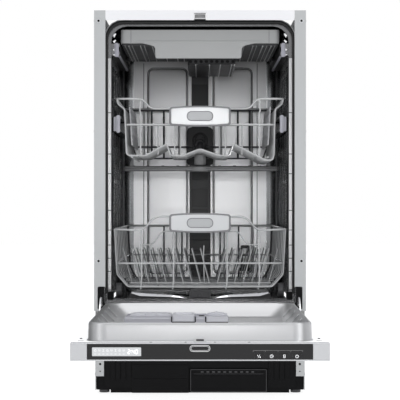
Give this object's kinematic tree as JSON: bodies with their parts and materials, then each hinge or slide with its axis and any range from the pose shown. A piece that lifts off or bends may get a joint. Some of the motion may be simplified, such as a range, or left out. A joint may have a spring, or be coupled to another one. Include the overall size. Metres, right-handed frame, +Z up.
{
  "type": "built-in dishwasher",
  "caption": "Slimline fully integrated dishwasher for a kitchen niche: steel tub, fold-down door, sliding baskets and cutlery tray, spray arms, base with pumps.",
  "frame": {"origin": "floor level, centre of the cabinet's footprint", "axes": "+Z up, -Y towards the user in front of the door, +X to the user's right"},
  "size_m": [0.448, 1.1962, 0.815],
  "materials": {
    "tub_steel": "satin stainless sheet",
    "rail_steel": "rolled stainless rail",
    "hinge_steel": "bright pressed steel",
    "galvanised_steel": "zinc coated sheet, faint spangle",
    "grey_coated_steel": "light grey coated sheet",
    "fascia_silver": "satin silver",
    "white_enamel": "semi gloss white",
    "black_plastic": "fine grain moulding",
    "dark_plastic": "satin moulding",
    "light_plastic": "smooth moulding",
    "grey_plastic": "satin moulding",
    "coated_wire": "polyamide coated steel wire",
    "black_rubber": "extruded seal",
    "black_gloss": "high gloss black"
  },
  "bodies": {
    "cabinet": {"base_tray": "black_plastic", "service_hatch": "black_plastic", "side_panel_left": "grey_coated_steel", "side_panel_right": "grey_coated_steel", "top_front_rail": "white_enamel", "rear_brace": "galvanised_steel", "tub": "tub_steel", "door_gasket": "black_rubber", "latch_striker": "grey_plastic", "hinge_bracket_left": "galvanised_steel", "hinge_bracket_right": "galvanised_steel", "water_duct": "dark_plastic", "sump": "dark_plastic", "filter_unit": "tub_steel", "circulation_pump": "dark_plastic", "drain_pump": "dark_plastic", "inlet_valve": "light_plastic", "foot_front_left": "black_plastic", "foot_front_right": "black_plastic"},
    "door": {"door_outer_panel": "galvanised_steel", "door_liner": "tub_steel", "control_fascia": "fascia_silver", "control_glass": "black_gloss", "dispenser_body": "grey_plastic", "hinge_arm_left": "hinge_steel", "hinge_arm_right": "hinge_steel"},
    "detergent_lid": {"detergent_lid": "grey_plastic"},
    "rinse_aid_cap": {"rinse_aid_cap": "grey_plastic"},
    "key_half_load": {"key_half_load": "black_gloss"},
    "key_delay": {"key_delay": "black_gloss"},
    "key_program": {"key_program": "black_gloss"},
    "key_power": {"key_power": "black_gloss"},
    "upper_basket": {"upper_basket": "coated_wire", "upper_front": "coated_wire", "upper_back": "coated_wire", "upper_side_left": "coated_wire", "upper_side_right": "coated_wire", "upper_handle": "light_plastic", "upper_pipe": "dark_plastic"},
    "upper_rails": {"upper_rail_left": "rail_steel", "upper_rail_right": "rail_steel"},
    "cup_shelf_left": {"cup_shelf_left": "grey_plastic"},
    "cup_shelf_right": {"cup_shelf_right": "grey_plastic"},
    "upper_spray_arm": {"upper_spray_arm": "grey_plastic"},
    "cutlery_tray": {"cutlery_tray": "grey_plastic", "tray_bin": "grey_plastic"},
    "lower_basket": {"lower_basket": "coated_wire", "lower_front": "coated_wire", "lower_back": "coated_wire", "lower_side_left": "coated_wire", "lower_side_right": "coated_wire", "rear_tines": "coated_wire", "lower_handle": "light_plastic"},
    "wheel_front_left": {"wheel_front_left": "grey_plastic"},
    "wheel_front_right": {"wheel_front_right": "grey_plastic"},
    "wheel_rear_left": {"wheel_rear_left": "grey_plastic"},
    "wheel_rear_right": {"wheel_rear_right": "grey_plastic"},
    "tine_row_left": {"tine_row_left": "coated_wire"},
    "tine_row_right": {"tine_row_right": "coated_wire"},
    "lower_spray_arm": {"lower_spray_arm": "grey_plastic"}
  },
  "joints": [
    {"name": "door_hinge", "type": "hinge", "parent": "cabinet", "child": "door", "pos_m": [0, -0.28, 0.15], "axis": [1, 0, 0], "range_deg": [-90, 0]},
    {"name": "detergent_lid_hinge", "type": "hinge", "parent": "door", "child": "detergent_lid", "pos_m": [-0.093, -0.581, 0.1955], "axis": [1, 0, 0], "range_deg": [-100, 0]},
    {"name": "rinse_aid_cap_hinge", "type": "hinge", "parent": "door", "child": "rinse_aid_cap", "pos_m": [0.032, -0.597, 0.1955], "axis": [1, 0, 0], "range_deg": [-100, 0]},
    {"name": "key_half_load_press", "type": "slide", "parent": "door", "child": "key_half_load", "axis": [0, 1, 0], "range_m": [0, 0.0008], "stiffness_N_per_m": 400},
    {"name": "key_delay_press", "type": "slide", "parent": "door", "child": "key_delay", "axis": [0, 1, 0], "range_m": [0, 0.0008], "stiffness_N_per_m": 400},
    {"name": "key_program_press", "type": "slide", "parent": "door", "child": "key_program", "axis": [0, 1, 0], "range_m": [0, 0.0008], "stiffness_N_per_m": 400},
    {"name": "key_power_press", "type": "slide", "parent": "door", "child": "key_power", "axis": [0, 1, 0], "range_m": [0, 0.0008], "stiffness_N_per_m": 400},
    {"name": "upper_basket_slide", "type": "slide", "parent": "cabinet", "child": "upper_basket", "axis": [0, -1, 0], "range_m": [0, 0.4]},
    {"name": "upper_rails_slide", "type": "slide", "parent": "cabinet", "child": "upper_rails", "axis": [0, -1, 0], "range_m": [0, 0.2]},
    {"name": "cup_shelf_left_fold", "type": "hinge", "parent": "upper_basket", "child": "cup_shelf_left", "pos_m": [-0.147, -0.023, 0.54], "axis": [0, 1, 0], "range_deg": [0, 86]},
    {"name": "cup_shelf_right_fold", "type": "hinge", "parent": "upper_basket", "child": "cup_shelf_right", "pos_m": [0.147, -0.023, 0.54], "axis": [0, 1, 0], "range_deg": [-86, 0]},
    {"name": "upper_spray_spin", "type": "hinge", "parent": "upper_basket", "child": "upper_spray_arm", "pos_m": [0, -0.008, 0.4855], "axis": [0, 0, 1], "continuous": true},
    {"name": "cutlery_tray_slide", "type": "slide", "parent": "cabinet", "child": "cutlery_tray", "axis": [0, -1, 0], "range_m": [0, 0.28]},
    {"name": "lower_basket_slide", "type": "slide", "parent": "cabinet", "child": "lower_basket", "axis": [0, -1, 0], "range_m": [0, 0.42]},
    {"name": "wheel_front_left_spin", "type": "hinge", "parent": "lower_basket", "child": "wheel_front_left", "pos_m": [-0.1755, -0.158, 0.2195], "axis": [1, 0, 0], "continuous": true},
    {"name": "wheel_front_right_spin", "type": "hinge", "parent": "lower_basket", "child": "wheel_front_right", "pos_m": [0.1755, -0.158, 0.2195], "axis": [1, 0, 0], "continuous": true},
    {"name": "wheel_rear_left_spin", "type": "hinge", "parent": "lower_basket", "child": "wheel_rear_left", "pos_m": [-0.1755, 0.142, 0.2195], "axis": [1, 0, 0], "continuous": true},
    {"name": "wheel_rear_right_spin", "type": "hinge", "parent": "lower_basket", "child": "wheel_rear_right", "pos_m": [0.1755, 0.142, 0.2195], "axis": [1, 0, 0], "continuous": true},
    {"name": "tine_row_left_fold", "type": "hinge", "parent": "lower_basket", "child": "tine_row_left", "pos_m": [0, -0.168, 0.234], "axis": [1, 0, 0], "range_deg": [-88, 0]},
    {"name": "tine_row_right_fold", "type": "hinge", "parent": "lower_basket", "child": "tine_row_right", "pos_m": [0, -0.168, 0.234], "axis": [1, 0, 0], "range_deg": [-88, 0]},
    {"name": "lower_spray_spin", "type": "hinge", "parent": "cabinet", "child": "lower_spray_arm", "pos_m": [0, -0.008, 0.21765], "axis": [0, 0, 1], "continuous": true}
  ],
  "couplings": [
    {"joint": "upper_rails_slide", "follows": "upper_basket_slide", "ratio": 0.5},
    {"joint": "wheel_front_left_spin", "follows": "lower_basket_slide", "rad_per_m": 66.667},
    {"joint": "wheel_front_right_spin", "follows": "lower_basket_slide", "rad_per_m": 66.667},
    {"joint": "wheel_rear_left_spin", "follows": "lower_basket_slide", "rad_per_m": 66.667},
    {"joint": "wheel_rear_right_spin", "follows": "lower_basket_slide", "rad_per_m": 66.667}
  ]
}
